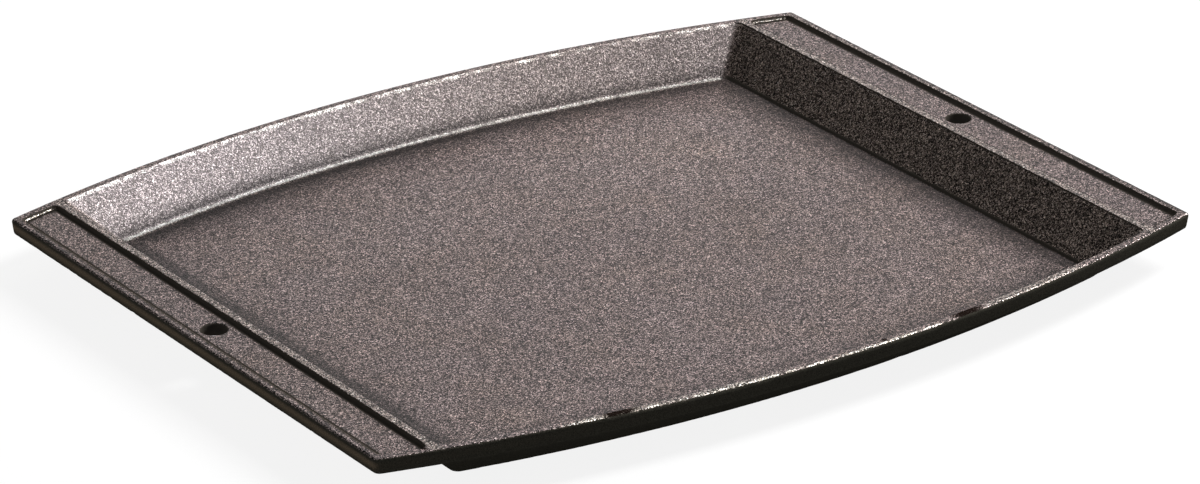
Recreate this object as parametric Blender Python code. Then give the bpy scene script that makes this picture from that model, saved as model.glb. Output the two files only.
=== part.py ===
"""Cast iron platter: a bowed rectangular dish and its two end handles, cast in one piece.

Lengths are in metres and +Z is up. The long way of the platter runs along X, and the origin is at
the middle of the underside. Every shape is skinned over loops that are drawn at a height, and a
loop is the platter's outline seen from above, drawn in by an inset.
"""

import math

import bmesh
import bpy
from mathutils import Vector

# The outline seen from above: straight ends, and two long sides that each bow out as one arc.
LENGTH = 0.3810
END_WIDTH = 0.2572
SIDE_BOW = 0.0270

# The flat plate that makes the rim along the sides and the handles at the ends. Its edge leans in
# on the way down by the draft, and is tighter at the top than below, also at the four corners.
PLATE_THICKNESS = 0.0065
PLATE_DRAFT = 0.0005
RIM_WIDTH = 0.0038
TOP_CORNER_RADIUS = 0.0022
LOW_CORNER_RADIUS = 0.0034
TOP_EDGE_RADIUS = 0.0010
LOW_EDGE_RADIUS = 0.0012

# The dish that hangs below the plate, with sloped walls of one slope all round. Outside, the arcs
# of its long sides have a radius that is larger by the straightening than a parallel line's.
DISH_DEPTH = 0.0166
WALL_RUN = 0.0171
SIDE_WALL_THICKNESS = 0.0033
END_WALL_THICKNESS = 0.0041
FLOOR_THICKNESS = 0.0034
RIM_EDGE_RADIUS = 0.0009
FOOT_RADIUS = 0.0040
DISH_CORNER_RADIUS = 0.0032
BASE_EDGE_RADIUS = 0.0015
BASE_CORNER_RADIUS = 0.0030
BASE_STRAIGHTENING = 0.0450
UNDERSIDE_FILLET_RADIUS = 0.0020

# The shallow panel sunk into each handle, and the ribs that are left standing round it.
RECESS_WIDTH = 0.0180
RECESS_DEPTH = 0.0015
RECESS_DRAFT = 0.0004
RECESS_EDGE_RADIUS = 0.0004
RECESS_FOOT_RADIUS = 0.0012
RECESS_CORNER_RADIUS = 0.0027
INNER_RIB_WIDTH = 0.0035
OUTER_RIB_WIDTH = 0.0038
END_RIB_WIDTH = 0.0037

# The round hanging hole in the middle of each panel.
HOLE_DIAMETER = 0.0100
HOLE_EDGE_RADIUS = 0.0007

# How finely the round stretches are divided, and how far a cutter passes the skin it cuts.
CORNER_STEPS = 4
SIDE_STEPS = 24
RECESS_SIDE_STEPS = 3
EDGE_STEPS = 3
FOOT_STEPS = 4
HOLE_EDGE_STEPS = 2
HOLE_SIDES = 28
CUT_OVERLAP = 0.0002
SMALLEST_RADIUS = 0.0003
SHARP_ANGLE = math.radians(35)

# Heights above the ground.
FLOOR_Z = FLOOR_THICKNESS
TOP_Z = FLOOR_Z + DISH_DEPTH
PLATE_UNDERSIDE_Z = TOP_Z - PLATE_THICKNESS
PANEL_Z = TOP_Z - RECESS_DEPTH

# Places along X.
HALF_LENGTH = LENGTH / 2
HANDLE_REACH = OUTER_RIB_WIDTH + RECESS_WIDTH + INNER_RIB_WIDTH
RECESS_OUTER_X = HALF_LENGTH - OUTER_RIB_WIDTH
RECESS_INNER_X = RECESS_OUTER_X - RECESS_WIDTH
HOLE_X = (RECESS_OUTER_X + RECESS_INNER_X) / 2

# The arc of a long side: its radius, and how far its centre lies beyond the platter's middle.
SIDE_RADIUS = (HALF_LENGTH**2 + SIDE_BOW**2) / (2 * SIDE_BOW)
SIDE_CENTRE = SIDE_RADIUS - SIDE_BOW - END_WIDTH / 2

# The dish wall's slope, as run for each unit of drop, and its thicknesses measured level.
WALL_SLOPE = WALL_RUN / DISH_DEPTH
SIDE_WALL_LEVEL = SIDE_WALL_THICKNESS * math.hypot(1, WALL_SLOPE)
END_WALL_LEVEL = END_WALL_THICKNESS * math.hypot(1, WALL_SLOPE)
DISH_END_INSET = HANDLE_REACH - RIM_WIDTH
BASE_END_INSET = DISH_END_INSET + SIDE_WALL_LEVEL - END_WALL_LEVEL


def clear_scene():
    """Removes every object of the scene."""
    for obj in list(bpy.data.objects):
        bpy.data.objects.remove(obj, do_unlink=True)


def outer_wall_inset(height):
    """The inset of the outer face of the dish's side walls at a height."""
    return RIM_WIDTH + (TOP_Z - height) * WALL_SLOPE - SIDE_WALL_LEVEL


def arc(centre, radius, start, end, steps):
    """Points on an arc, both ends included."""
    turns = [start + (end - start) * step / steps for step in range(steps + 1)]
    return [
        (centre[0] + radius * math.cos(turn), centre[1] + radius * math.sin(turn)) for turn in turns
    ]


def plan_loop(low_x, high_x, side_inset, corner_radius, side_steps=SIDE_STEPS, straightening=0):
    """The outline seen from above, anticlockwise, between two values of X.

    The sides follow the platter's bowed sides at the inset, or arcs of a larger radius through
    the same middle. The ends are straight across, and each of the four corners is an arc that
    meets both without a crease.
    """
    side_radius = SIDE_RADIUS - side_inset + straightening
    side_centre = SIDE_CENTRE + straightening
    reach = side_radius - corner_radius
    right_x = high_x - corner_radius
    left_x = low_x + corner_radius
    right_turn = math.acos(right_x / reach)
    left_turn = math.acos(left_x / reach)
    right_corner = (right_x, reach * math.sin(right_turn) - side_centre)
    left_corner = (left_x, reach * math.sin(left_turn) - side_centre)
    side = arc((0, -side_centre), side_radius, right_turn, left_turn, side_steps)
    upper = arc(right_corner, corner_radius, 0, right_turn, CORNER_STEPS)
    upper += side[1:-1]
    upper += arc(left_corner, corner_radius, left_turn, math.pi, CORNER_STEPS)
    lower = [(x, -y) for x, y in reversed(upper)]
    return upper + lower


def rounded_corner(before, corner, after, radius, steps):
    """The points of the arc that rounds the corner of a section."""
    corner = Vector(corner)
    to_before = (Vector(before) - corner).normalized()
    to_after = (Vector(after) - corner).normalized()
    half_angle = to_before.angle(to_after) / 2
    setback = radius / math.tan(half_angle)
    centre = corner + (to_before + to_after).normalized() * radius / math.sin(half_angle)
    first = corner + to_before * setback - centre
    last = corner + to_after * setback - centre
    start = math.atan2(first.y, first.x)
    swing = math.atan2(first.x * last.y - first.y * last.x, first.dot(last))
    return arc(centre, radius, start, start + swing, steps)


def past_surface(points, overlap):
    """A cutter's section whose first step is carried on until it stands above the surface."""
    first, second = Vector(points[0]), Vector(points[1])
    step = first - second
    return [tuple(first + step * overlap / abs(step.y)), *points[1:]]


def base_section():
    """Inset and height up the outside of the dish, from its underside to the plate."""
    foot = (outer_wall_inset(0), 0)
    head = (outer_wall_inset(PLATE_UNDERSIDE_Z), PLATE_UNDERSIDE_Z)
    under = (foot[0] + BASE_EDGE_RADIUS, 0)
    beside = (head[0] - UNDERSIDE_FILLET_RADIUS, PLATE_UNDERSIDE_Z)
    edge = rounded_corner(under, foot, head, BASE_EDGE_RADIUS, EDGE_STEPS)
    return edge + rounded_corner(foot, head, beside, UNDERSIDE_FILLET_RADIUS, EDGE_STEPS)


def plate_section():
    """Inset and height round the plate's edge, from below to above."""
    low = (PLATE_DRAFT, PLATE_UNDERSIDE_Z)
    widest = (0, TOP_Z - TOP_EDGE_RADIUS)
    high = (0, TOP_Z)
    below = (PLATE_DRAFT + LOW_EDGE_RADIUS, PLATE_UNDERSIDE_Z)
    above = (TOP_EDGE_RADIUS, TOP_Z)
    edge = rounded_corner(below, low, widest, LOW_EDGE_RADIUS, EDGE_STEPS)
    return edge + rounded_corner(widest, high, above, TOP_EDGE_RADIUS, EDGE_STEPS)


def plate_corner_radius(inset, height):
    """The radius of the plate's corners seen from above, at a point of its edge."""
    drop = (TOP_Z - height) / PLATE_THICKNESS
    radius = TOP_CORNER_RADIUS + (LOW_CORNER_RADIUS - TOP_CORNER_RADIUS) * drop
    return max(radius - inset, SMALLEST_RADIUS)


def dish_section():
    """Inset and height down the inside of the dish, from the rim to the floor."""
    brink = (RIM_WIDTH, TOP_Z)
    foot = (RIM_WIDTH + WALL_RUN, FLOOR_Z)
    rim = (brink[0] - RIM_EDGE_RADIUS, TOP_Z)
    floor = (foot[0] + FOOT_RADIUS, FLOOR_Z)
    edge = rounded_corner(rim, brink, foot, RIM_EDGE_RADIUS, EDGE_STEPS)
    return edge + rounded_corner(brink, foot, floor, FOOT_RADIUS, FOOT_STEPS)


def recess_section():
    """Inset and height down the wall of a handle's panel, from above the rib to the panel."""
    brink = (0, TOP_Z)
    foot = (RECESS_DRAFT, PANEL_Z)
    rib = (-RECESS_EDGE_RADIUS, TOP_Z)
    panel = (foot[0] + RECESS_FOOT_RADIUS, PANEL_Z)
    edge = rounded_corner(rib, brink, foot, RECESS_EDGE_RADIUS, EDGE_STEPS)
    wall = rounded_corner(brink, foot, panel, RECESS_FOOT_RADIUS, EDGE_STEPS)
    return past_surface(edge, CUT_OVERLAP) + wall


def hole_section():
    """Radius and height of a hanging hole's wall, from above the panel to below the plate."""
    radius = HOLE_DIAMETER / 2
    high = (radius, PANEL_Z)
    low = (radius, PLATE_UNDERSIDE_Z)
    above = (radius + HOLE_EDGE_RADIUS, PANEL_Z)
    below = (radius + HOLE_EDGE_RADIUS, PLATE_UNDERSIDE_Z)
    upper = rounded_corner(above, high, low, HOLE_EDGE_RADIUS, HOLE_EDGE_STEPS)
    lower = rounded_corner(high, low, below, HOLE_EDGE_RADIUS, HOLE_EDGE_STEPS)
    lower.reverse()
    return past_surface(upper, CUT_OVERLAP) + past_surface(lower, CUT_OVERLAP)[::-1]


def skin(bm, loops):
    """Skins a closed solid over loops of equal count, with a flat face at each end."""
    rings = [[bm.verts.new(point) for point in loop] for loop in loops]
    count = len(rings[0])
    for ring, following in zip(rings[:-1], rings[1:]):
        for index in range(count):
            beside = (index + 1) % count
            bm.faces.new((ring[index], ring[beside], following[beside], following[index]))
    bm.faces.new(rings[0])
    bm.faces.new(rings[-1])
    bmesh.ops.recalc_face_normals(bm, faces=bm.faces)


def new_object(name, loops):
    """A mesh object skinned over the loops."""
    bm = bmesh.new()
    skin(bm, loops)
    mesh = bpy.data.meshes.new(name)
    bm.to_mesh(mesh)
    bm.free()
    obj = bpy.data.objects.new(name, mesh)
    bpy.context.scene.collection.objects.link(obj)
    return obj


def lifted(loop, height):
    """The loop at a height."""
    return [(x, y, height) for x, y in loop]


def platter_loops():
    """The loops of the whole casting, from the underside out, up and down into the dish."""
    loops = []
    for inset, height in base_section():
        reach = HALF_LENGTH - inset - BASE_END_INSET
        loop = plan_loop(
            -reach, reach, inset, BASE_CORNER_RADIUS, straightening=BASE_STRAIGHTENING
        )
        loops.append(lifted(loop, height))
    for inset, height in plate_section():
        reach = HALF_LENGTH - inset
        radius = plate_corner_radius(inset, height)
        loops.append(lifted(plan_loop(-reach, reach, inset, radius), height))
    for inset, height in dish_section():
        reach = HALF_LENGTH - inset - DISH_END_INSET
        loops.append(lifted(plan_loop(-reach, reach, inset, DISH_CORNER_RADIUS), height))
    return loops


def make_cutter(name, loops):
    """A solid that is only cut away from another."""
    obj = new_object(name, loops)
    obj.hide_render = True
    obj.display_type = "WIRE"
    return obj


def recess_cutter(name, side):
    """The space above one handle's panel. Side is 1 for the handle at +X and -1 for the other."""
    low_x, high_x = sorted((side * RECESS_INNER_X, side * RECESS_OUTER_X))
    loops = []
    for inset, height in recess_section():
        loop = plan_loop(
            low_x + inset,
            high_x - inset,
            END_RIB_WIDTH + inset,
            max(RECESS_CORNER_RADIUS - inset, SMALLEST_RADIUS),
            RECESS_SIDE_STEPS,
        )
        loops.append(lifted(loop, height))
    return make_cutter(name, loops)


def hole_cutter(name, side):
    """The space inside one handle's hanging hole."""
    loops = []
    for radius, height in hole_section():
        loop = arc((side * HOLE_X, 0), radius, 0, math.tau, HOLE_SIDES)[:-1]
        loops.append(lifted(loop, height))
    return make_cutter(name, loops)


def cut(obj, cutter):
    """Cuts the cutter's shape out of the object."""
    modifier = obj.modifiers.new(f"cut {cutter.name}", "BOOLEAN")
    modifier.operation = "DIFFERENCE"
    modifier.solver = "EXACT"
    modifier.object = cutter


def seasoned_iron():
    """Dark grey-brown cast iron under a baked oil film."""
    material = bpy.data.materials.new("seasoned_cast_iron")
    material.use_nodes = True
    shader = material.node_tree.nodes["Principled BSDF"]
    shader.inputs["Base Color"].default_value = (0.085, 0.075, 0.072, 1.0)
    shader.inputs["Metallic"].default_value = 0.35
    shader.inputs["Roughness"].default_value = 0.55
    return material


def make_platter():
    """The casting: dish, rim and both handles, with the panels and holes cut from the handles."""
    platter = new_object("platter_casting", platter_loops())
    platter.data.materials.append(seasoned_iron())
    platter.data.shade_smooth()
    platter.data.set_sharp_from_angle(angle=SHARP_ANGLE)
    for end, side in (("right", 1), ("left", -1)):
        cut(platter, recess_cutter(f"{end}_panel_cutter", side))
        cut(platter, hole_cutter(f"{end}_hole_cutter", side))
    return platter


def main():
    clear_scene()
    make_platter()


main()
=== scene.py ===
"""The looks of a cast iron platter: a sand-cast skin, its seasoning, a pale floor and soft light.

Lengths are in metres, +Z is up and +X runs along the platter. The skin of the whole casting is one
closed mesh. Each of its rows is the platter's outline seen from above, drawn in by an inset, and
its edges are worn and chipped by repeatable noise, always inwards.
"""

import logging
import math
from dataclasses import dataclass, field, replace
from enum import Enum

import bmesh
import bpy
import numpy as np
from mathutils import Matrix, Vector
from mathutils.geometry import delaunay_2d_cdt


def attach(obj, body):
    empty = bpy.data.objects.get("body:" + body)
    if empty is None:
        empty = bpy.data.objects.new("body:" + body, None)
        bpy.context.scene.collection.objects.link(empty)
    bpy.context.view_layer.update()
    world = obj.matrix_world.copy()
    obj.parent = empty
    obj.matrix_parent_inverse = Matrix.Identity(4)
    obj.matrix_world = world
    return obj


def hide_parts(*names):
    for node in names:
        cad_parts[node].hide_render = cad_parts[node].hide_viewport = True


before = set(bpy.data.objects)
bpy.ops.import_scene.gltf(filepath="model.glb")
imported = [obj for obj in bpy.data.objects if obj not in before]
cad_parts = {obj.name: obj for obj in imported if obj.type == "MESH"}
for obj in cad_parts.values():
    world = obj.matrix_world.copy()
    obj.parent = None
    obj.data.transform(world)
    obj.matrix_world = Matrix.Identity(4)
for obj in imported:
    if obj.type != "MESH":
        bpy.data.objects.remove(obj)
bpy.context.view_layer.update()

logging.basicConfig(level=logging.INFO, format="%(message)s")
report = logging.getLogger("platter")


class HandleSide(Enum):
    """The end of the platter that a handle is on."""

    RIGHT = 1
    LEFT = -1


class Bend(Enum):
    """Which way a rounded corner of a section bends."""

    OUTWARD = 1
    INWARD = -1


# ---- sizes and rows


@dataclass(frozen=True)
class Spacing:
    """How many steps divide the parts of a loop."""

    side: int
    end: int
    corner: int


@dataclass(frozen=True)
class Station:
    """One row of a section through the skin."""

    inset: float
    height: float
    wear: float = 0.0
    # Painted shade: darkens the colour in corners, along feet and on faces turned from the light.
    hollow: float = 0.0
    # Painted shade: dark bands along the dish's foot and on the floor beside it.
    trough: float = 0.0
    soot: float = 0.0
    wall: float = 0.0
    # On the plate's end faces, painted light: a lighter brown where the side light falls, with
    # painted shade above and below; on the dish's end walls, a browner tone.
    shade: float = 0.0
    # Painted shade: near black in the recesses, the hanging holes and at the end walls' feet.
    grime: float = 0.0
    # Painted highlight where the key light would glint on edges and fillets, with rubbed wear on
    # the near rim.
    polish: float = 0.0


Place = tuple[float, float]
MARKS = ("wear", "hollow", "trough", "soot", "wall", "shade", "grime", "polish")
SHARPEST = 0.0003  # the least radius of a corner seen from above
LEAST_WEAR = 0.35  # what an outward corner's first and last rows are worn


@dataclass
class Row:
    """A closed loop of points on the skin, with the outward direction seen from above.

    The shares say how much of its station's marks each point takes.
    """

    points: np.ndarray
    outward: np.ndarray
    start: int = -1
    shares: dict[str, np.ndarray] = field(default_factory=dict)

    @property
    def count(self) -> int:
        """The number of points."""
        return len(self.points)

    def facing(self, along: int, way: int) -> np.ndarray:
        """How squarely each point faces one way along X (0) or Y (1), from 0 to 1."""
        return np.clip(self.outward[:, along] * way, 0, 1) ** 2


@dataclass(frozen=True)
class Outline:
    """The platter seen from above: straight ends, and long sides that bow out as one arc."""

    length: float = 0.3810
    end_width: float = 0.2572
    side_bow: float = 0.0270

    @property
    def half_length(self) -> float:
        """Half of the length."""
        return self.length / 2

    @property
    def side_radius(self) -> float:
        """The radius of a long side's arc."""
        return (self.half_length**2 + self.side_bow**2) / (2 * self.side_bow)

    @property
    def side_centre(self) -> float:
        """How far the centre of a long side's arc lies beyond the platter's middle."""
        return self.side_radius - self.side_bow - self.end_width / 2

    def side_y(self, x: np.ndarray | float, inset: float) -> np.ndarray | float:
        """How far out a long side lies at a place along X, drawn in by an inset."""
        return np.sqrt((self.side_radius - inset) ** 2 - np.square(x)) - self.side_centre

    def loop(
        self,
        low_x: float,
        high_x: float,
        inset: float,
        corner_radius: float,
        spacing: Spacing,
        straightening: float = 0.0,
    ) -> tuple[np.ndarray, np.ndarray]:
        """Draws the outline between two values of X, anticlockwise.

        Args:
            low_x: Where the left end lies.
            high_x: Where the right end lies.
            inset: How far the long sides are drawn in.
            corner_radius: The radius of the four corners.
            spacing: How finely the loop is divided.
            straightening: How much larger than a parallel line's the sides' radius is.

        Returns:
            The points, and the outward direction at each, as two arrays of X and Y.
        """
        side_radius = self.side_radius - inset + straightening
        side_centre = self.side_centre + straightening
        reach = side_radius - corner_radius
        right_x, left_x = high_x - corner_radius, low_x + corner_radius
        right_turn, left_turn = math.acos(right_x / reach), math.acos(left_x / reach)
        right_y = reach * math.sin(right_turn) - side_centre
        left_y = reach * math.sin(left_turn) - side_centre
        side_turns = np.linspace(right_turn, left_turn, spacing.side + 1)[1:-1]
        arcs = (
            (right_x, right_y, corner_radius, np.linspace(0, right_turn, spacing.corner + 1)),
            (0, -side_centre, side_radius, side_turns),
            (left_x, left_y, corner_radius, np.linspace(left_turn, math.pi, spacing.corner + 1)),
        )
        turns = np.concatenate([arc[3] for arc in arcs])
        upper = np.concatenate(
            [
                np.stack([x + radius * np.cos(turn), y + radius * np.sin(turn)], 1)
                for x, y, radius, turn in arcs
            ]
        )

        def straight(x: float, y: float) -> np.ndarray:
            """Points between the two corners of an end."""
            heights = np.linspace(y, -y, spacing.end + 1)[1:-1]
            return np.stack([np.full(len(heights), x), heights], 1)

        left, right = straight(low_x, left_y), straight(high_x, -right_y)
        points = np.concatenate([upper, left, upper[::-1] * (1, -1), right])
        ends = np.full(len(left), math.pi), np.zeros(len(right))
        turns = np.concatenate([turns, ends[0], -turns[::-1], ends[1]])
        return points, np.stack([np.cos(turns), np.sin(turns)], 1)


def rising(values: np.ndarray, start: float, reach: float) -> np.ndarray:
    """Rises from 0 at a start to 1 over a reach, which lies below the start where negative."""
    return np.clip((values - start) / reach, 0, 1)


def lifted(points: np.ndarray, outward: np.ndarray, station: Station) -> Row:
    """Raises a loop of X and Y, with its directions out of the iron, to its station's height."""
    heights = np.full((len(points), 1), station.height)
    return Row(np.hstack([points, heights]), outward)


def marked(stations: list[Station], marks: dict[str, tuple[float, ...]]) -> list[Station]:
    """Gives stations their values of each mark, in order."""
    for mark, values in marks.items():
        stations = [replace(station, **{mark: value}) for station, value in zip(stations, values)]
    return stations


def stations_round(
    corner: tuple[Place, Place, Place],
    radius: float,
    steps: int,
    bend: Bend,
    **marks: tuple[float, ...],
) -> list[Station]:
    """Rounds the corner of a section.

    Args:
        corner: The corner between a place before it and one after it, as insets and heights.
        radius: The radius that rounds it.
        steps: How many steps divide the arc.
        bend: Whether the corner stands out, and is worn, or bends inward.
        marks: Values of any marks, one for each station.

    Returns:
        The stations on the arc, both ends included.
    """
    before, middle, after = map(Vector, corner)
    to_before, to_after = (before - middle).normalized(), (after - middle).normalized()
    half_angle = to_before.angle(to_after) / 2
    setback = radius / math.tan(half_angle)
    centre = middle + (to_before + to_after).normalized() * radius / math.sin(half_angle)
    first = middle + to_before * setback - centre
    last = middle + to_after * setback - centre
    start = math.atan2(first.y, first.x)
    swing = math.atan2(first.x * last.y - first.y * last.x, first.dot(last))
    stations = []
    for step in range(steps + 1):
        turn = start + swing * step / steps
        inset, height = centre.x + radius * math.cos(turn), centre.y + radius * math.sin(turn)
        wear = LEAST_WEAR + (1 - LEAST_WEAR) * math.sin(math.pi * step / steps)
        stations.append(Station(inset, height, wear=wear if bend is Bend.OUTWARD else 0.0))
    return marked(stations, marks)


def stations_between(
    first: Station, last: Station, count: int, **marks: tuple[float, ...]
) -> list[Station]:
    """Divides the straight stretch between two stations.

    Args:
        first: The station before the stretch.
        last: The station after it.
        count: How many stations go between them.
        marks: Values of any marks, one for each station.

    Returns:
        The stations between, without either end.
    """
    stations = []
    for index in range(1, count + 1):
        values = {}
        for name in ("inset", "height", "soot", "wall", "shade"):
            low, high = getattr(first, name), getattr(last, name)
            values[name] = low + (high - low) * (index / (count + 1))
        stations.append(Station(**values))
    return marked(stations, marks)


# ---- the sand's marks


@dataclass(frozen=True)
class SandNoise:
    """Smooth lumps between -1 and 1 at fixed places, from hashed whole numbers."""

    seed: int

    def _lattice(self, cells: np.ndarray) -> np.ndarray:
        """The value at each cell corner, from -1 to 1."""
        mixed = cells[:, 0] * 73856093 ^ cells[:, 1] * 19349663 ^ cells[:, 2] * 83492791
        mixed = (mixed ^ self.seed * 40503) & 0xFFFFFFFF
        mixed = ((mixed ^ mixed >> 15) * 739982445) & 0xFFFFFFFF
        mixed = ((mixed ^ mixed >> 12) * 695872825) & 0xFFFFFFFF
        return ((mixed ^ mixed >> 15) & 0xFFFFFF) / 0x7FFFFF - 1

    def at(self, points: np.ndarray, size: float) -> np.ndarray:
        """Reads the lumps at points.

        Args:
            points: Places as X, Y and Z.
            size: The size of a lump.

        Returns:
            One value for each point.
        """
        scaled = points / size + 1000.0
        cells = np.floor(scaled).astype(np.int64)
        part = scaled - cells
        part = part * part * (3 - 2 * part)
        total = np.zeros(len(points))
        for corner in range(8):
            step = np.array([corner & 1, corner >> 1 & 1, corner >> 2 & 1])
            weight = np.prod(np.where(step, part, 1 - part), axis=1)
            total += weight * self._lattice(cells + step)
        return total


WAVES, RIPPLES, PATCHES, CHIPS = map(SandNoise, (5, 11, 17, 23))
RUBS, GLEAMS, GLINTS = map(SandNoise, (31, 37, 43))


@dataclass(frozen=True)
class SandMarks:
    """How the sand mould and long use have roughened the casting's edges and walls."""

    ripple_depth: float = 0.00014
    ripple_size: float = 0.0014
    chip_depth: float = 0.00055
    chip_size: float = 0.0026
    chip_spread: float = 0.021
    chip_rarity: float = 0.95
    wave_depth: float = 0.00005
    wave_size: float = 0.014

    def roughen(self, row: Row, station: Station) -> None:
        """Moves a row's points in from the true surface, most where it is worn.

        Args:
            row: The row as drawn.
            station: Where the row lies in its section, and how worn it is.
        """
        points, depth = row.points, np.zeros(row.count)
        if station.wear or station.hollow or station.soot:
            depth += self.wave_depth * (0.5 + 0.5 * WAVES.at(points, self.wave_size))
        if station.wear:
            ripple = 0.5 + 0.5 * RIPPLES.at(points, self.ripple_size)
            patch = 0.5 + 0.5 * PATCHES.at(points, self.chip_spread)
            chip = np.clip(CHIPS.at(points, self.chip_size) + patch - self.chip_rarity, 0, 1)
            depth += station.wear * (self.ripple_depth * ripple + self.chip_depth * chip)
        points[:, :2] -= row.outward * depth[:, None]


@dataclass(frozen=True)
class Stain:
    """A dark patch of thick seasoning on the near rim."""

    x: float
    inset: float
    reach: float


@dataclass(frozen=True)
class Patina:
    """Where the casting's tops are rubbed bright or stained dark."""

    outline: Outline
    top: float = 0.0200
    rim_width: float = 0.0038
    rib_inner: float = 0.1650
    rib_outer: float = 0.1690
    end_rib_inner: float = 0.1864
    end_rib_rubbed: float = 0.1878
    pale_x: tuple[float, ...] = (-0.116, -0.106, -0.045, -0.015, 0.046, 0.066, 0.074, 0.118, 0.128)
    pale: tuple[float, ...] = (0.0, 0.36, 0.36, 0.09, 0.0, 0.0, 0.35, 0.35, 0.0)
    stains: tuple[Stain, ...] = (
        Stain(-0.0985, 0.0012, 0.0052),
        Stain(-0.0965, 0.0034, 0.0074),
        Stain(0.0590, 0.0014, 0.0048),
        Stain(0.0612, 0.0034, 0.0078),
        Stain(-0.1712, 0.0028, 0.0014),
        Stain(0.0200, 0.0032, 0.0014),
    )

    def rim_polish(self, points: np.ndarray) -> np.ndarray:
        """Tells how far the top of the near rim is rubbed pale, as a share for each point."""
        x, y, z = points.T
        inset = self.outline.side_radius - np.hypot(x, y - self.outline.side_centre)
        on_rim = (y < 0) & (inset < self.rim_width + 0.0002) & (z > self.top - 0.0009)
        return on_rim * np.interp(x, self.pale_x, self.pale)

    def shares(self, points: np.ndarray) -> dict[str, np.ndarray]:
        """Works out how rubbed and how stained each point is.

        Args:
            points: Every point of the skin.

        Returns:
            The shares by name, each from 0 to 1.
        """
        x, y, z = points.T
        high = rising(z, self.top - 0.0006, 0.0004)
        edge = rising(z, self.top - 0.0024, 0.0010)
        inner_rib = (np.abs(x) > self.rib_inner) & (np.abs(x) < self.rib_outer)
        end_rib = (x > self.end_rib_inner) & (x < self.end_rib_rubbed)
        rub = high * np.maximum(inner_rib, end_rib * np.clip(0.6 + y / 0.2, 0, 1))
        stain = np.zeros(len(points))
        for patch in self.stains:
            middle = -self.outline.side_y(patch.x, patch.inset)
            away = np.hypot(x - patch.x, y - middle) / patch.reach
            stain = np.maximum(stain, edge * np.clip(1.6 - 1.3 * away, 0, 1))
        return {"rub": rub, "stain": stain}


# ---- the skin


ENCLOSED = 1  # asks for the triangles within the bounds only
SAME_PLACE = 1e-8  # points nearer than this are one


def encloses(loop: np.ndarray, points: np.ndarray) -> np.ndarray:
    """Tells which points lie inside a closed loop.

    Args:
        loop: The loop as X and Y.
        points: The points as X and Y.

    Returns:
        One true or false for each point.
    """
    within = np.zeros(len(points), bool)
    for (x, y), (next_x, next_y) in zip(loop, np.roll(loop, -1, axis=0)):
        if y == next_y:
            continue
        between = (points[:, 1] > y) != (points[:, 1] > next_y)
        crossing = x + (points[:, 1] - y) * (next_x - x) / (next_y - y)
        within ^= between & (points[:, 0] < crossing)
    return within


@dataclass
class Skin:
    """The closed mesh of the casting while it is being made."""

    sand: SandMarks = SandMarks()
    points: list[np.ndarray] = field(default_factory=list)
    faces: list[tuple[int, ...]] = field(default_factory=list)
    marks: list[np.ndarray] = field(default_factory=list)
    total: int = 0

    def sweep(self, rows: list[Row], stations: list[Station]) -> list[Row]:
        """Roughens rows, adds their points to the skin and joins them one after another.

        Args:
            rows: The rows as drawn, with equal counts.
            stations: Where each row lies in its section, and what it carries of each mark.

        Returns:
            The rows, with their places in the skin noted.
        """
        for row, station in zip(rows, stations):
            self.sand.roughen(row, station)
            row.start = self.total
            self.total += row.count
            self.points.append(row.points)
            shares = [row.shares.get(mark, np.ones(row.count)) for mark in MARKS]
            carried = [getattr(station, mark) * share for mark, share in zip(MARKS, shares)]
            self.marks.append(np.stack(carried, 1))
        for first, second in zip(rows[:-1], rows[1:]):
            for index in range(first.count):
                beside = (index + 1) % first.count
                near = (first.start + index, first.start + beside)
                self.faces.append((*near, second.start + beside, second.start + index))
        return rows

    def fill(self, edge: Row, holes: list[Row]) -> None:
        """Covers a flat stretch with triangles.

        Args:
            edge: The row round the stretch.
            holes: The rows round what is left open.
        """
        rows = [edge, *holes]
        ground = np.concatenate([row.points[:, :2] for row in rows])
        places = np.concatenate([row.start + np.arange(row.count) for row in rows])
        bounds, first = [], 0
        for row in rows:
            bounds += [(first + i, first + (i + 1) % row.count) for i in range(row.count)]
            first += row.count
        flat = [Vector(point) for point in ground]
        made = delaunay_2d_cdt(flat, bounds, [], ENCLOSED, SAME_PLACE)
        own = [origin[0] for origin in made[3]]
        triangles = np.array([[own[index] for index in face] for face in made[2]])
        middles = ground[triangles].mean(axis=1)
        kept = np.ones(len(triangles), bool)
        for hole in holes:
            kept &= ~encloses(hole.points[:, :2], middles)
        self.faces += [tuple(corners) for corners in places[triangles[kept]].tolist()]

    def finish(self, name: str, patina: Patina) -> bpy.types.Object:
        """Makes the mesh object.

        Args:
            name: The object's name.
            patina: Says where the skin is rubbed and stained.

        Returns:
            The object, smooth, closed and linked to the scene.
        """
        mesh = bpy.data.meshes.new(name)
        points = np.concatenate(self.points)
        mesh.from_pydata(points.tolist(), [], self.faces)
        marks = dict(zip(MARKS, np.concatenate(self.marks).T))
        # The near rim's rubbed pale stretches join the painted highlight and wear.
        marks["polish"] = np.maximum(marks["polish"], patina.rim_polish(points))
        for mark, shares in (marks | patina.shares(points)).items():
            layer = mesh.attributes.new(mark, "FLOAT", "POINT")
            layer.data.foreach_set("value", np.ascontiguousarray(shares, np.float32))
        bm = bmesh.new()
        bm.from_mesh(mesh)
        bmesh.ops.recalc_face_normals(bm, faces=bm.faces)
        open_edges = sum(not edge.is_manifold for edge in bm.edges)
        bm.to_mesh(mesh)
        bm.free()
        mesh.shade_smooth()
        made = bpy.data.objects.new(name, mesh)
        bpy.context.scene.collection.objects.link(made)
        report.info("%s: %d faces, %d open edges", name, len(mesh.polygons), open_edges)
        return made


# ---- the casting's parts


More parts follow.
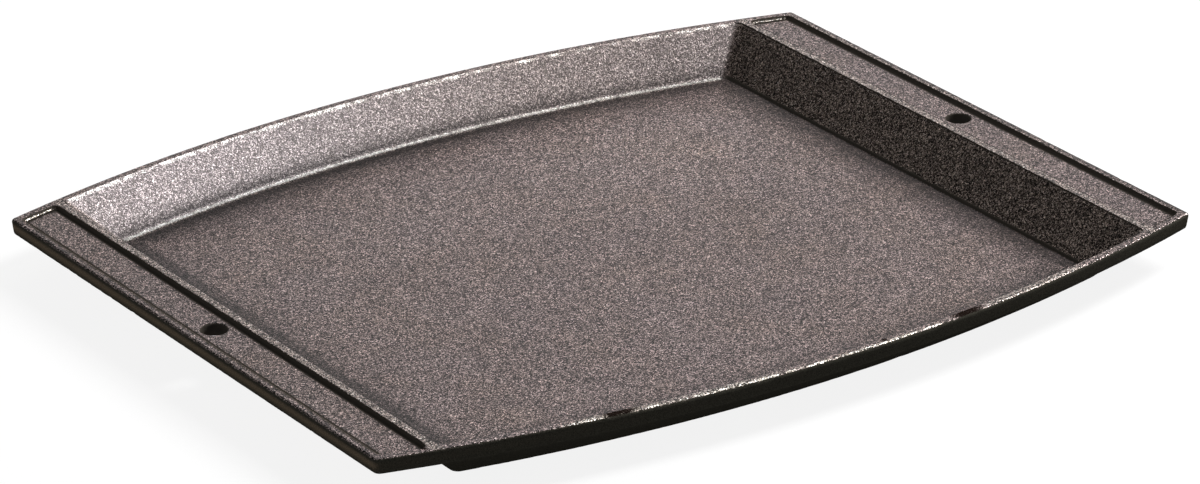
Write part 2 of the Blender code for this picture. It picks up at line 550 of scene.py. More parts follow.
@dataclass(frozen=True)
class Plate:
    """The flat plate that makes the rim along the sides and the handles at the ends."""

    outline: Outline
    top: float = 0.0200
    thickness: float = 0.0065
    draft: float = 0.0005
    top_corner_radius: float = 0.0022
    low_corner_radius: float = 0.0034
    top_edge_radius: float = 0.0010
    rubbed_edge_radius: float = 0.0018
    low_edge_radius: float = 0.0012
    rubbed_from: float = -0.120
    bright_from: float = -0.126
    fading: float = 0.016
    broad_until: float = 0.044
    corner_from: float = 0.118
    line_inset: float = 0.0007
    line_width: float = 0.0005
    rub_size: float = 0.0052
    gleam_size: float = 0.0031
    guard: float = 0.0004
    spacing: Spacing = Spacing(side=460, end=310, corner=5)

    @property
    def underside(self) -> float:
        """The height of the plate's underside."""
        return self.top - self.thickness

    def corner_radius(self, station: Station) -> float:
        """The radius of the plate's corners at a station."""
        drop = (self.top - station.height) / self.thickness
        radius = self.top_corner_radius + (self.low_corner_radius - self.top_corner_radius) * drop
        return max(radius - station.inset, SHARPEST)

    def section(self, top_radius: float) -> list[Station]:
        """The stations round the plate's edge, from below to above.

        Args:
            top_radius: The radius of the upper edge.

        Returns:
            The stations.
        """
        low, high = (self.draft, self.underside), (0.0, self.top)
        widest, above = (0.0, self.top - top_radius), (top_radius, self.top)
        below = (self.draft + self.low_edge_radius, self.underside)
        lower = stations_round(
            (below, low, widest), self.low_edge_radius, 3, Bend.OUTWARD, soot=(0.0, 0.5, 1.0, 1.0)
        )
        # The upper edge takes painted shade at the right end and a painted highlight along its
        # rounding.
        upper = stations_round(
            (widest, high, above),
            top_radius,
            5,
            Bend.OUTWARD,
            soot=(1.0, 0.9, 0.5, 0.25, 0.06, 0.0),
            hollow=(0.0, 0.0, 0.2, 0.5, 0.8, 0.75),
            polish=(0.0, 0.1, 0.4, 0.9, 1.0, 1.0),
        )
        first = Station(lower[0].inset + self.guard, self.underside)
        last = Station(upper[-1].inset + self.guard, self.top, polish=1.0, hollow=0.55)
        # Painted light on the end faces: the middle of the face takes the lighter brown, with
        # painted shade left above and below it.
        side = stations_between(lower[-1], upper[0], 3, shade=(0.4, 1.0, 0.85))
        return [first, *lower, *side, *upper, last]

    def row(self, station: Station) -> Row:
        """Draws the plate's outline at a station."""
        reach = self.outline.half_length - station.inset
        radius = self.corner_radius(station)
        loop = self.outline.loop(-reach, reach, station.inset, radius, self.spacing)
        return lifted(*loop, station)

    def rubbed(self, points: np.ndarray) -> np.ndarray:
        """Tells how far the upper edge is rubbed back, most along the middle of the near side.

        Args:
            points: Places on the edge.

        Returns:
            A share from 0 to 1 for each.
        """
        x, near = points[:, 0], points[:, 1] < -self.outline.end_width / 2
        along = rising(x, self.rubbed_from, self.fading)
        along *= 1 - 0.62 * rising(x, self.broad_until, 0.010)
        patchy = 0.72 + 0.45 * RUBS.at(points * (1, 1, 0), self.rub_size)
        return np.where(near, np.clip(along * patchy, 0, 1), 0.12)

    def polished(self, points: np.ndarray, inset: float) -> np.ndarray:
        """Tells how far the upper edge is painted bright, most along the near side: a painted
        highlight line along the rounding, and a broader band where the edge is rubbed.

        Args:
            points: Places on the edge.
            inset: How far in from the plate's widest outline they lie.

        Returns:
            A share from 0 to 1 for each.
        """
        x, near = points[:, 0], points[:, 1] < -self.outline.end_width / 2
        along = np.maximum(rising(x, self.bright_from, self.fading), 0.16)
        corner = rising(x, self.corner_from, 0.010)
        # A painted highlight line along the edge's rounding.
        away = np.abs(inset - self.line_inset + 0.0004 * corner) / self.line_width
        line = 0.06 + (0.58 - 0.20 * corner) * np.clip(1 - away, 0, 1)
        broad = rising(x, self.broad_until + 0.006, -0.006)
        broad *= 1 - (0.45 + 0.30 * rising(x, -0.045, 0.030)) * (inset > 0.0012)
        patchy = 0.74 + 0.50 * GLEAMS.at(points * (1, 1, 0), self.gleam_size)
        share = along * (broad + rising(x, self.broad_until, 0.006) * line) * patchy
        return np.where(near, np.clip(share, 0, 1), 0.05)

    def build(self, skin: Skin) -> list[Row]:
        """Lays the plate's edge.

        Args:
            skin: The skin that takes its rows.

        Returns:
            The rows, from the underside to the top.
        """
        rows, stations = [], self.section(self.top_edge_radius)
        for station, wider in zip(stations, self.section(self.rubbed_edge_radius)):
            row, other = self.row(station), self.row(wider)
            share = self.rubbed(row.points)[:, None]
            leaning = np.clip(row.points[:, 1] / 0.1, -1, 1)
            # Painted highlight and rubbed wear along the near edge, painted light on the end faces,
            # soot heaviest on the near side, and painted shade on the right end's upper edge,
            # stronger towards the near side.
            row.shares = {
                "polish": self.polished(row.points, station.inset),
                "shade": row.facing(0, 1) + row.facing(0, -1),
                "soot": 1 + 0.9 * row.facing(1, -1),
                "hollow": row.facing(0, 1) * (1 - 0.35 * leaning),
            }
            row.points = row.points * (1 - share) + other.points * share
            rows.append(row)
        return skin.sweep(rows, stations)


@dataclass(frozen=True)
class Dish:
    """The shallow dish that hangs below the plate, with sloped walls and a flat floor."""

    outline: Outline
    top: float = 0.0200
    plate_underside: float = 0.0135
    depth: float = 0.0166
    wall_run: float = 0.0171
    rim_width: float = 0.0038
    handle_reach: float = 0.0253
    side_wall_thickness: float = 0.0033
    end_wall_thickness: float = 0.0041
    rim_edge_radius: float = 0.0006
    foot_radius: float = 0.0040
    inner_corner_radius: float = 0.0032
    base_edge_radius: float = 0.0015
    base_corner_radius: float = 0.0030
    base_straightening: float = 0.0450
    underside_fillet_radius: float = 0.0020
    left_shade_reach: float = 0.0070
    glint_size: float = 0.0024
    guard: float = 0.0005
    spacing: Spacing = Spacing(side=430, end=290, corner=6)

    @property
    def floor(self) -> float:
        """The height of the dish's floor."""
        return self.top - self.depth

    @property
    def slope(self) -> float:
        """The run of the wall for each unit of drop."""
        return self.wall_run / self.depth

    @property
    def side_wall_level(self) -> float:
        """The side walls' thickness measured level."""
        return self.side_wall_thickness * math.hypot(1, self.slope)

    @property
    def end_inset(self) -> float:
        """How much further in than the rim's width the opening's ends lie."""
        return self.handle_reach - self.rim_width

    @property
    def base_end_inset(self) -> float:
        """The same for the outside of the dish, whose end walls are thicker."""
        end_level = self.end_wall_thickness * math.hypot(1, self.slope)
        return self.end_inset + self.side_wall_level - end_level

    def outside_inset(self, height: float) -> float:
        """The inset of the outer face of the side walls at a height."""
        return self.rim_width + (self.top - height) * self.slope - self.side_wall_level

    def inner_section(self) -> list[Station]:
        """The stations down the inside, from the rim to the floor."""
        brink = (self.rim_width, self.top)
        foot = (self.rim_width + self.wall_run, self.floor)
        rim = (brink[0] - self.rim_edge_radius, self.top)
        beyond = (foot[0] + self.foot_radius, self.floor)
        # The brink: painted shade and the browner tone on the end walls' edges, and a painted
        # highlight on the far wall's edge.
        edge = stations_round(
            (rim, brink, foot),
            self.rim_edge_radius,
            4,
            Bend.OUTWARD,
            shade=(0.0, 0.2, 0.6, 1.0, 1.0),
            grime=(0.0, 0.0, 0.3, 0.8, 0.9),
            hollow=(0.0, 0.0, 0.0, 0.6, 0.9),
            polish=(0.0, 0.0, 0.0, 0.15, 0.60),
            wall=(0.0, 0.0, 0.5, 1.0, 1.0),
        )
        # The foot: painted shade in the corner, dark bands above it, and a painted highlight on the
        # far fillet.
        bend = stations_round(
            (brink, foot, beyond),
            self.foot_radius,
            6,
            Bend.INWARD,
            shade=(1.0, 1.0, 0.8, 0.5, 0.2, 0.0, 0.0),
            grime=(0.0, 0.4, 0.9, 1.0, 0.9, 0.5, 0.2),
            hollow=(0.0, 0.3, 0.8, 1.0, 1.0, 0.95, 0.95),
            trough=(0.84, 0.72, 0.38, 0.06, 0.0, 0.0, 0.0),
            polish=(0.0, 0.0, 0.0, 0.4, 0.9, 1.0, 1.0),
            wall=(1.0,) * 7,
        )
        # Painted shade: a dark band low on the wall.
        wall = stations_between(edge[-1], bend[0], 6, trough=(0.0, 0.0, 0.0, 0.0, 0.05, 0.31))
        # Painted highlight just below the brink.
        crest = stations_between(edge[-1], wall[0], 2, polish=(0.45, 0.0))
        first = Station(edge[0].inset - self.guard, self.top)
        inset = bend[-1].inset
        # Painted shade on the floor along the foot, fading away from it, with a painted highlight
        # at its first row.
        floor = [
            Station(inset + self.guard, self.floor, hollow=0.93, polish=0.5),
            Station(inset + 0.0021, self.floor, hollow=0.70, trough=0.86),
            Station(inset + 0.0035, self.floor, hollow=0.84, trough=1.0),
            Station(inset + 0.0070, self.floor, hollow=0.54, trough=0.60),
            Station(inset + 0.0185, self.floor),
        ]
        return [first, *edge, *crest, *wall, *bend, *floor]

    def outer_section(self) -> list[Station]:
        """The stations up the outside, from the underside to the plate."""
        foot = (self.outside_inset(0), 0.0)
        head = (self.outside_inset(self.plate_underside), self.plate_underside)
        under = (foot[0] + self.base_edge_radius, 0.0)
        beside = (head[0] - self.underside_fillet_radius, self.plate_underside)
        edge = stations_round(
            (under, foot, head), self.base_edge_radius, 3, Bend.OUTWARD, soot=(0.0, 0.5, 1.0, 1.0)
        )
        # Painted shade in the fillet under the plate.
        bend = stations_round(
            (foot, head, beside),
            self.underside_fillet_radius,
            3,
            Bend.INWARD,
            soot=(1.0, 0.8, 0.4, 0.0),
            hollow=(0.2, 0.4, 0.4, 0.2),
        )
        first = Station(edge[0].inset + self.guard, 0.0)
        last = Station(bend[-1].inset - self.guard, self.plate_underside)
        return [first, *edge, *stations_between(edge[-1], bend[0], 3), *bend, last]

    def build_inside(self, skin: Skin) -> list[Row]:
        """Lays the inside of the dish.

        Args:
            skin: The skin that takes its rows.

        Returns:
            The rows, from the rim to the floor.
        """
        rows, stations = [], self.inner_section()
        for station in stations:
            reach = self.outline.half_length - station.inset - self.end_inset
            points, outward = self.outline.loop(
                -reach, reach, station.inset, self.inner_corner_radius, self.spacing
            )
            row = lifted(points, -outward, station)
            # Painted highlight on the far wall, broken up by noise; at the brink it fades towards
            # the right.
            glint = 0.50 * GLINTS.at(row.points * (1, 1, 0), self.glint_size)
            if station.height > self.top / 2:
                glint += 0.66 - 0.11 * rising(points[:, 0], 0.0, 0.06)
            else:
                glint += 0.90
            ends = row.facing(0, 1) + row.facing(0, -1)
            # Painted light and shade: the end walls take the browner tone and painted shade, the
            # side walls darker bands that grow to the left, and the far wall the painted highlight.
            row.shares = {
                "shade": ends,
                "grime": ends,
                "hollow": ends,
                "wall": 1 - ends,
                "trough": (1 - ends) * np.clip(1 - 1.4 * points[:, 0], 0.86, 1.14),
                "polish": row.facing(1, -1) * np.clip(glint, 0, 1),
            }
            # Beyond this reach from the rim, the floor's painted shade is weaker at the left end.
            if station.inset > self.rim_width + self.wall_run + self.left_shade_reach:
                row.shares["hollow"] = ends - 0.7 * row.facing(0, 1)
            rows.append(row)
        skin.fill(skin.sweep(rows, stations)[-1], [])
        return rows

    def build_outside(self, skin: Skin) -> list[Row]:
        """Lays the outside of the dish and its flat underside.

        Args:
            skin: The skin that takes its rows.

        Returns:
            The rows, from the underside to the plate.
        """
        rows, stations = [], self.outer_section()
        shape = (self.base_corner_radius, self.spacing, self.base_straightening)
        for station in stations:
            reach = self.outline.half_length - station.inset - self.base_end_inset
            loop = self.outline.loop(-reach, reach, station.inset, *shape)
            rows.append(lifted(*loop, station))
        skin.fill(skin.sweep(rows, stations)[0], [])
        return rows


@dataclass(frozen=True)
class Handle:
    """The panel sunk into one end of the plate, with a hanging hole through its middle."""

    outline: Outline
    side: HandleSide
    top: float = 0.0200
    plate_underside: float = 0.0135
    recess_width: float = 0.0180
    recess_depth: float = 0.0015
    recess_draft: float = 0.0004
    recess_edge_radius: float = 0.0004
    recess_foot_radius: float = 0.0012
    recess_corner_radius: float = 0.0027
    outer_rib_width: float = 0.0038
    end_rib_width: float = 0.0037
    hole_radius: float = 0.0050
    hole_edge_radius: float = 0.0007
    hole_low_edge_radius: float = 0.0002
    hole_sides: int = 56
    guard: float = 0.0003
    spacing: Spacing = Spacing(side=22, end=300, corner=5)

    @property
    def panel(self) -> float:
        """The height of the sunk panel."""
        return self.top - self.recess_depth

    @property
    def outer_x(self) -> float:
        """The recess's outer edge along X, on the right-hand side."""
        return self.outline.half_length - self.outer_rib_width

    @property
    def hole_x(self) -> float:
        """The hole's place along X."""
        return self.side.value * (self.outer_x - self.recess_width / 2)

    def recess_section(self) -> list[Station]:
        """The stations down the recess's wall, from the rib to the panel."""
        brink, foot = (0.0, self.top), (self.recess_draft, self.panel)
        rib = (-self.recess_edge_radius, self.top)
        beyond = (foot[0] + self.recess_foot_radius, self.panel)
        # The rib's edge takes painted shade down into the recess.
        edge = stations_round(
            (rib, brink, foot),
            self.recess_edge_radius,
            3,
            Bend.OUTWARD,
            grime=(0.10, 0.18, 0.5, 1.0),
        )
        # Painted shade fills the recess's foot; the far end's fillet takes a painted highlight.
        bend = stations_round(
            (brink, foot, beyond),
            self.recess_foot_radius,
            4,
            Bend.INWARD,
            grime=(1.0,) * 5,
            hollow=(0.0, 0.0, 0.35, 0.75, 0.85),
            polish=(0.2, 1.0, 1.0, 0.2, 0.0),
        )
        first = Station(edge[0].inset - self.guard, self.top, grime=0.07)
        last = Station(bend[-1].inset + self.guard, self.panel, grime=1.0, hollow=0.75)
        clear = Station(bend[-1].inset + 0.0014, self.panel)
        return [first, *edge, *bend, last, clear]

    def hole_section(self) -> list[Station]:
        """The stations down the hole's wall, with the radius as the inset."""
        high, low = (self.hole_radius, self.panel), (self.hole_radius, self.plate_underside)
        above = (self.hole_radius + self.hole_edge_radius, self.panel)
        below = (self.hole_radius + self.hole_low_edge_radius, self.plate_underside)
        # Painted shade inside the hanging hole, darkest down its wall.
        upper = stations_round(
            (above, high, low), self.hole_edge_radius, 3, Bend.OUTWARD, grime=(0.0, 0.4, 0.9, 1.0)
        )
        lower = stations_round(
            (high, low, below),
            self.hole_low_edge_radius,
            3,
            Bend.OUTWARD,
            grime=(1.0, 0.8, 0.3, 0.0),
        )
        between = stations_between(upper[-1], lower[0], 2, grime=(1.0, 1.0))
        first = Station(upper[0].inset + self.guard, self.panel)
        last = Station(lower[-1].inset + self.guard, self.plate_underside)
        return [first, *upper, *between, *lower, last]

    def build(self, skin: Skin) -> tuple[Row, Row]:
        """Lays the recess, the panel and the hole.

        Args:
            skin: The skin that takes the rows.

        Returns:
            The row on the top face round the recess, and the row on the underside round the hole.
        """
        inner_x = self.outer_x - self.recess_width
        low_x, high_x = sorted((self.side.value * inner_x, self.side.value * self.outer_x))
        recess, stations = [], self.recess_section()
        for station in stations:
            points, outward = self.outline.loop(
                low_x + station.inset,
                high_x - station.inset,
                self.end_rib_width + station.inset,
                max(self.recess_corner_radius - station.inset, SHARPEST),
                self.spacing,
            )
            row = lifted(points, -outward, station)
            # Painted highlight on the far end's fillet, where the painted shade gives way.
            far = row.facing(1, -1)
            row.shares = {"polish": far, "grime": 1 - station.polish * far}
            on_rib = station.height > self.panel + self.recess_depth / 2
            # On the left handle, painted shade along the outer rib's hidden wall.
            if on_rib and self.side is HandleSide.LEFT:
                row.shares["grime"] += 8 * row.facing(0, 1)
            recess.append(row)
        skin.sweep(recess, stations)
        turns = np.linspace(0, math.tau, self.hole_sides, endpoint=False)
        outward = np.stack([np.cos(turns), np.sin(turns)], 1)
        hole, stations = [], self.hole_section()
        for station in stations:
            hole.append(lifted(outward * station.inset + (self.hole_x, 0), -outward, station))
        skin.sweep(hole, stations)
        skin.fill(recess[-1], [hole[0]])
        return recess[0], hole[-1]


@dataclass(frozen=True)
class Casting:
    """The platter as it leaves the sand mould: plate, dish and two handles in one piece."""

    outline: Outline = Outline()

    def build(self) -> bpy.types.Object:
        """Builds the whole skin.

        Returns:
            The casting as one mesh object.
        """
        skin = Skin()
        plate = Plate(self.outline)
        dish = Dish(self.outline, plate.top, plate.underside)
        edge = plate.build(skin)
        inside, outside = dish.build_inside(skin), dish.build_outside(skin)
        tops, unders = [], []
        for side in HandleSide:
            handle = Handle(self.outline, side, plate.top, plate.underside)
            over, under = handle.build(skin)
            tops.append(over)
            unders.append(under)
            report.info("handle %s: hole at x %.1f mm", side.name.lower(), handle.hole_x * 1000)
        skin.fill(edge[-1], [inside[0], *tops])
        skin.fill(edge[0], [outside[-1], *unders])
        return skin.finish("platter_skin", Patina(self.outline, plate.top))


# ---- finishes


Socket = bpy.types.NodeSocket
Triple = tuple[float, float, float]


class Board:
    """The node board of one material."""

    def __init__(self, name: str) -> None:
        """Starts a material with an empty board."""
        self.material = bpy.data.materials.new(name)
        self.material.use_nodes = True
        self.tree = self.material.node_tree
        self.tree.nodes.clear()

    def put(self, kind: str, inputs: dict[int | str, object], **settings: object) -> bpy.types.Node:
        """Adds a node.

        Args:
            kind: The kind of node, without the words that all kinds begin with.
            inputs: Sockets to link and plain values, by the number or name of the input.
            settings: The node's properties.

        Returns:
            The node.
        """
        node = self.tree.nodes.new("ShaderNode" + kind)
        for name, value in settings.items():
            setattr(node, name, value)
        for key, source in inputs.items():
            if isinstance(source, Socket):
                self.tree.links.new(source, node.inputs[key])
            elif node.inputs[key].type == "RGBA":
                node.inputs[key].default_value = (*source, 1.0)
            else:
                node.inputs[key].default_value = source
        return node

    def finish(self, surface: Socket) -> bpy.types.Material:
        """Shows a surface through the material, and hands the material over."""
        self.put("OutputMaterial", {"Surface": surface})
        return self.material

    def place(self) -> Socket:
        """The point on the object, in metres."""
        return self.put("TexCoord", {}).outputs["Object"]

    def carried(self, name: str) -> Socket:
        """A value that the mesh carries at its points."""
        return self.put("Attribute", {}, attribute_name=name).outputs["Fac"]

    def noise(self, size: float, detail: float, rough: float) -> Socket:
        """Lumps of a size and finer ones on them: a value from 0 to 1, mostly near 0.5."""
        inputs = {"Vector": self.place(), "Scale": 1 / size, "Detail": detail, "Roughness": rough}
        return self.put("TexNoise", inputs).outputs["Fac"]

    def cells(self, size: float) -> bpy.types.Node:
        """Rounded grains of a size."""
        return self.put("TexVoronoi", {"Vector": self.place(), "Scale": 1 / size}, feature="F1")

    def speckle(self, size: float) -> Socket:
        """A value of its own, from 0 to 1, for each grain of a size."""
        return self.put("SeparateColor", {0: self.cells(size).outputs["Color"]}).outputs[0]

    def looked_at(self) -> Socket:
        """1 where the camera sees a surface, also in a mirror or through glass, and 0 elsewhere."""
        path = self.put("LightPath", {}).outputs
        seen = self.sums("MAXIMUM", path["Is Camera Ray"], path["Is Glossy Ray"])
        return self.sums("MAXIMUM", seen, path["Is Transmission Ray"])

    def shaded(self, colour: Socket, share: object) -> Socket:
        """Multiplies a colour by a value."""
        return self.put("VectorMath", {0: colour, "Scale": share}, operation="SCALE").outputs[0]

    def tinted(self, colour: Socket, tint: Socket) -> Socket:
        """Multiplies a colour by another."""
        return self.put("VectorMath", {0: colour, 1: tint}, operation="MULTIPLY").outputs[0]

    def patch(self, middle: Triple, reach: float) -> Socket:
        """A soft round patch: 1 in its middle, and 0 from its reach outwards."""
        away = self.put("VectorMath", {0: self.place(), 1: middle}, operation="DISTANCE")
        return self.ramp(away.outputs["Value"], reach, 0.0, shape="SMOOTHSTEP")

    def sums(self, operation: str, *values: object) -> Socket:
        """Does arithmetic on values or sockets."""
        return self.put("Math", dict(enumerate(values)), operation=operation).outputs[0]

    def times(self, product: object, *factors: object) -> Socket:
        """Multiplies values or sockets one after another."""
        for factor in factors:
            product = self.sums("MULTIPLY", product, factor)
        return product

    def ramp(
        self,
        value: object,
        low: float,
        high: float,
        bottom: float = 0.0,
        top: float = 1.0,
        shape: str = "LINEAR",
    ) -> Socket:
        """Stretches the range from low to high onto bottom to top, and holds it at both ends."""
        inputs = dict(enumerate((value, low, high, bottom, top)))
        return self.put("MapRange", inputs, clamp=True, interpolation_type=shape).outputs[0]

    def blend(self, share: object, first: object, second: object) -> Socket:
        """Mixes two colours by a share."""
        return self.put("Mix", {0: share, 6: first, 7: second}, data_type="RGBA").outputs[2]

    def fade(self, share: object, first: object, second: object) -> Socket:
        """Mixes two values by a share."""
        return self.put("Mix", {0: share, 2: first, 3: second}, data_type="FLOAT").outputs[0]


@dataclass(frozen=True)
class PaintedLightPatch:
    """A round patch whose colour is made lighter or darker, as painted light."""

    middle: Triple
    reach: float
    tint: Triple
    on_wall: bool = False


@dataclass(frozen=True)
class SeasonedIron:
    """Sand-cast iron under many baked coats of oil."""

    film: Triple = (0.140, 0.1065, 0.104)
    wall: Triple = (0.147, 0.132, 0.132)
    shade: Triple = (0.150, 0.119, 0.099)
    bare: Triple = (0.176, 0.148, 0.142)
    rubbed: Triple = (0.240, 0.195, 0.174)
    warm: Triple = (0.148, 0.108, 0.096)
    # Painted highlight, with the near rim's rubbed wear: the bright colour on edges.
    bright: Triple = (0.560, 0.495, 0.425)
    # Painted highlight: near white along the far wall's brink and foot.
    gleam: Triple = (0.740, 0.710, 0.670)
    stained: Triple = (0.014, 0.009, 0.007)
    soot: Triple = (0.064, 0.060, 0.048)
    # Painted light: the plate's end faces a lighter brown where the side light falls.
    painted_light_end_soot: Triple = (0.198, 0.154, 0.108)
    # Painted shade: the near-black colour for recesses, holes and the end walls' feet.
    grime: Triple = (0.084, 0.074, 0.062)
    untinted: Triple = (1.0, 1.0, 1.0)
    metallic: float = 0.8
    roughness: float = 0.36
    dull_roughness: float = 0.9
    specular_level: float = 0.0
    grain_size: float = 0.00042
    grain_depth: float = 0.000115
    lump_size: float = 0.0030
    lump_depth: float = 0.00001
    blotch_size: float = 0.017
    cloud_size: float = 0.042
    # Painted light: the back of the floor made lighter, the far wall lighter on the left and darker
    # and warmer on the right.
    painted_light_patches: tuple[PaintedLightPatch, ...] = (
        PaintedLightPatch((0.085, 0.085, 0.0034), 0.110, (1.20, 1.20, 1.19)),
        PaintedLightPatch((-0.030, 0.070, 0.0034), 0.080, (1.08, 1.08, 1.08)),
        PaintedLightPatch((-0.120, 0.140, 0.0100), 0.120, (1.09, 1.10, 1.12), on_wall=True),
        PaintedLightPatch((0.085, 0.150, 0.0100), 0.145, (0.89, 0.86, 0.83), on_wall=True),
    )

    def ragged(self, board: Board, share: Socket, grain: Socket, low: float, high: float) -> Socket:
        """Breaks up a mark's border, where its share runs from low to high, along the grains."""
        shift = board.times(board.sums("SUBTRACT", grain, 0.5), 1.6, board.ramp(share, 0.0, 0.2))
        return board.ramp(board.sums("ADD", share, shift), low, high)

    def grains(self, board: Board, wall: Socket) -> Socket:
        """How light or dark each grain of the skin is, round 1.

        Args:
            board: The board that takes the nodes.
            wall: How far a place is on a side wall, where the grains vary less.

        Returns:
            A factor for the colour.
        """
        layers = [
            board.ramp(board.speckle(self.grain_size * scale), 0.1, 0.9, 0.05, 1.95)
            for scale in (1.10, 0.90, 0.75)
        ]
        pits = board.ramp(board.speckle(self.grain_size * 1.30), 0.08, 0.13, 0.20, 1.09)
        return board.fade(board.times(wall, 0.42), board.times(*layers, pits), 1.0)

    def build(self) -> bpy.types.Material:
        """Makes the material.

        Returns:
            The finished material.
        """
        board = Board("seasoned_cast_iron")
        fine = board.noise(self.grain_size, 2.0, 0.6)
        lumps = board.noise(self.lump_size, 3.0, 0.55)
        clouds = board.noise(self.cloud_size, 3.0, 0.6)
        blotches = board.noise(self.blotch_size, 2.0, 0.6)
        wear, rub, wall, shade = (board.carried(name) for name in ("wear", "rub", "wall", "shade"))
        borders = {"polish": (0.25, 0.75), "grime": (0.30, 0.70)}
        borders |= {"soot": (0.38, 0.62), "stain": (0.05, 0.95)}
        polish, grime, soot, stain = (
            self.ragged(board, board.carried(name), fine, *border)
            for name, border in borders.items()
        )

        colour = board.blend(board.ramp(clouds, 0.35, 0.65), self.film, self.warm)
        for share, over in (
            (board.ramp(blotches, 0.40, 0.62, 0.0, 0.5), self.film),
            (wall, self.wall),
            (shade, self.shade),
            (rub, self.rubbed),
            (board.ramp(fine, 0.40, 0.60, 0.0, 0.5), self.bare),
            (board.times(wear, 0.6), self.bare),
            # Painted highlight, with rubbed wear on the near rim: bright on edges, near white on
            # the side walls.
            (polish, board.blend(wall, self.bright, self.gleam)),
        ):
            colour = board.blend(share, colour, over)
        colour = board.shaded(colour, self.grains(board, wall))
        # Painted light: patches made lighter or darker.
        for film in self.painted_light_patches:
            there = wall if film.on_wall else board.ramp(wall, 1.0, 0.0)
            share = board.times(board.patch(film.middle, film.reach), there)
            colour = board.tinted(colour, board.blend(share, self.untinted, film.tint))
        # Painted light on the plate's end faces: soot there turns the lighter brown.
        soot_and_end_light = board.blend(shade, self.soot, self.painted_light_end_soot)
        soot_and_end_light = board.shaded(soot_and_end_light, board.ramp(fine, 0.30, 0.70, 0.6, 1.4))
        # Real stains and soot, then the near-black painted shade.
        for share, over in ((stain, self.stained), (soot, soot_and_end_light), (grime, self.grime)):
            colour = board.blend(share, colour, over)
        # Painted shade: both shade marks darken the colour, down to a fifth.
        hollow = board.sums("MAXIMUM", board.carried("hollow"), board.carried("trough"))
        colour = board.shaded(colour, board.ramp(hollow, 0.0, 1.0, 1.0, 0.20))

        dull = board.sums("MAXIMUM", soot, board.sums("MAXIMUM", grime, stain))
        rough = board.ramp(lumps, 0.3, 0.7, self.roughness + 0.03, self.roughness - 0.03)
        rough = board.sums("SUBTRACT", rough, board.times(wear, 0.05))
        seams = board.cells(self.grain_size * 1.05).outputs["Distance"]
        seams = board.times(seams, self.grain_depth * 0.8)
        height = board.sums("SUBTRACT", board.times(fine, self.grain_depth), seams)
        height = board.sums("ADD", height, board.times(lumps, self.lump_depth))
        relief = board.put("Bump", {"Strength": 1.0, "Distance": 1.0, "Height": height})
        looks = {
            "Base Color": colour,
            "Metallic": board.fade(dull, self.metallic, 0.0),
            "Roughness": board.fade(dull, rough, self.dull_roughness),
            "Specular IOR Level": self.specular_level,
            "Normal": relief.outputs[0],
        }
        return board.finish(board.put("BsdfPrincipled", looks).outputs[0])


@dataclass(frozen=True)
class PaleFloor:
    """A plain pale floor that shows white, keeps a faint shadow and hides nothing from below."""

    seen: float = 0.87
    given: float = 0.12
    plain: Triple = (0.17, 0.17, 0.17)
    reach: float = 30.0
    drop: float = 0.0003

    def build(self) -> None:
        """Makes the floor."""
        board = Board("pale_floor")
        matt = board.put("BsdfDiffuse", {"Color": self.plain})
        glow = board.fade(board.looked_at(), self.given, self.seen)
        glow = board.put("Emission", {"Strength": glow})
        lit = board.put("AddShader", {0: matt.outputs[0], 1: glow.outputs[0]})
        below = board.put("NewGeometry", {}).outputs["Backfacing"]
        clear = board.put("BsdfTransparent", {})
        surface = board.put("MixShader", {0: below, 1: lit.outputs[0], 2: clear.outputs[0]})
        mesh = bpy.data.meshes.new("floor")
        bm = bmesh.new()
        bmesh.ops.create_grid(bm, x_segments=8, y_segments=8, size=self.reach)
        bm.to_mesh(mesh)
        bm.free()
        mesh.materials.append(board.finish(surface.outputs[0]))
        floor = bpy.data.objects.new("floor", mesh)
        floor.location.z = -self.drop
        bpy.context.scene.collection.objects.link(floor)


# ---- the studio


@dataclass(frozen=True)
class SoftLight:
    """A square diffuser that faces the platter."""

    name: str
    direction: Triple
    distance: float
    size: float
    power: float

    def build(self) -> None:
        """Makes the lamp and turns it to the platter."""
        lamp = bpy.data.lights.new(self.name, "AREA")
        lamp.shape = "SQUARE"
        lamp.size = self.size
        lamp.energy = self.power
        made = bpy.data.objects.new(self.name, lamp)
        toward = Vector(self.direction).normalized()
        made.location = toward * self.distance
        made.rotation_euler = toward.to_track_quat("Z", "Y").to_euler()
        made.visible_camera = False
        bpy.context.scene.collection.objects.link(made)


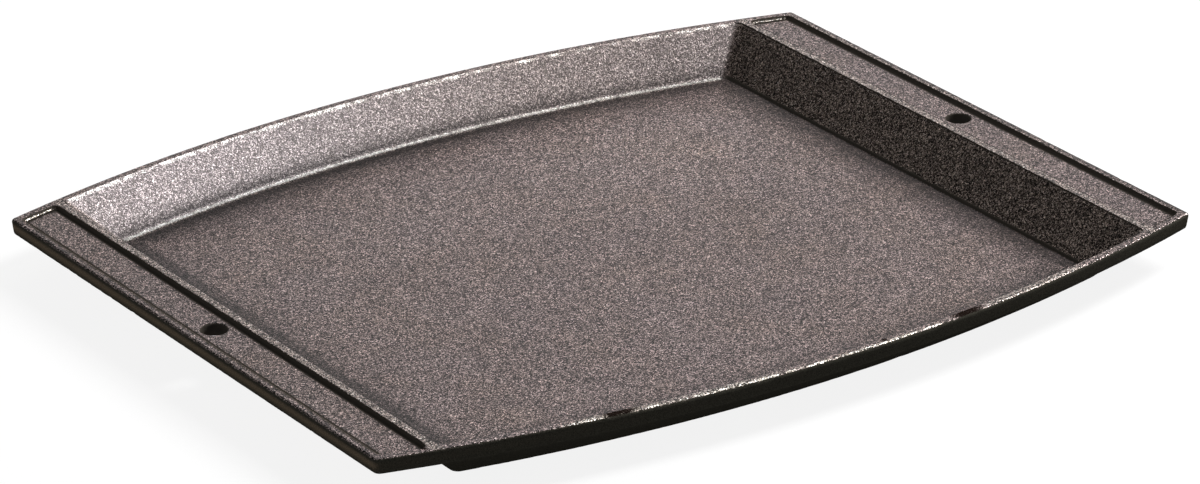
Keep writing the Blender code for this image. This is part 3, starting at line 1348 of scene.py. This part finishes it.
@dataclass(frozen=True)
class Viewpoint:
    """The camera: where it stands round the middle of the rim, and its lens."""

    azimuth: float = -35.622977
    elevation: float = 24.150311
    roll: float = 0.366072
    distance: float = 2.219705
    shift_right: float = 0.000706
    shift_up: float = 0.010234
    lens: float = 171.0215
    target_height: float = 0.0200

    def build(self) -> None:
        """Makes the camera and puts it to use."""
        turn, lift, roll = map(math.radians, (self.azimuth, self.elevation, self.roll))
        pose = Matrix.Translation((0, 0, self.target_height)) @ Matrix.Rotation(turn, 4, "Z")
        pose @= Matrix.Rotation(math.pi / 2 - lift, 4, "X") @ Matrix.Rotation(roll, 4, "Z")
        pose @= Matrix.Translation((-self.shift_right, -self.shift_up, self.distance))
        lens = bpy.data.cameras.new("camera")
        lens.sensor_fit = "HORIZONTAL"
        lens.sensor_width = 36.0
        lens.lens = self.lens
        lens.clip_end = 200.0
        camera = bpy.data.objects.new("camera", lens)
        camera.matrix_world = pose
        bpy.context.scene.collection.objects.link(camera)
        bpy.context.scene.camera = camera


@dataclass(frozen=True)
class Studio:
    """Plain soft light over a pale floor."""

    ambient: float = 0.10
    lights: tuple[SoftLight, ...] = (
        SoftLight("key", (0.76, -0.02, 0.65), 2.0, 0.55, 30.0),
        SoftLight("top", (0.56, 0.01, 0.83), 2.0, 0.50, 14.0),
        SoftLight("back", (0.49, 0.68, 0.49), 2.0, 1.35, 9.2),
        SoftLight("left", (-0.75, 0.55, 0.31), 2.0, 1.15, 3.0),
    )

    def build(self) -> None:
        """Sets up the floor, the lights, the room's light and the camera."""
        scene = bpy.context.scene
        scene.view_settings.view_transform = "Standard"
        world = scene.world or bpy.data.worlds.new("room")
        scene.world = world
        world.use_nodes = True
        room = world.node_tree.nodes["Background"].inputs
        room["Color"].default_value = (1.0, 1.0, 1.0, 1.0)
        room["Strength"].default_value = self.ambient
        PaleFloor().build()
        for light in self.lights:
            light.build()
            report.info("light %s", light.name)
        Viewpoint().build()


def main() -> None:
    """Builds the casting, dresses it and lights it."""
    casting = Casting().build()
    casting.data.materials.append(SeasonedIron().build())
    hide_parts("platter_casting")
    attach(casting, "root")
    report.info("casting: dressed in seasoned iron")
    Studio().build()


if __name__ == "__main__":
    main()
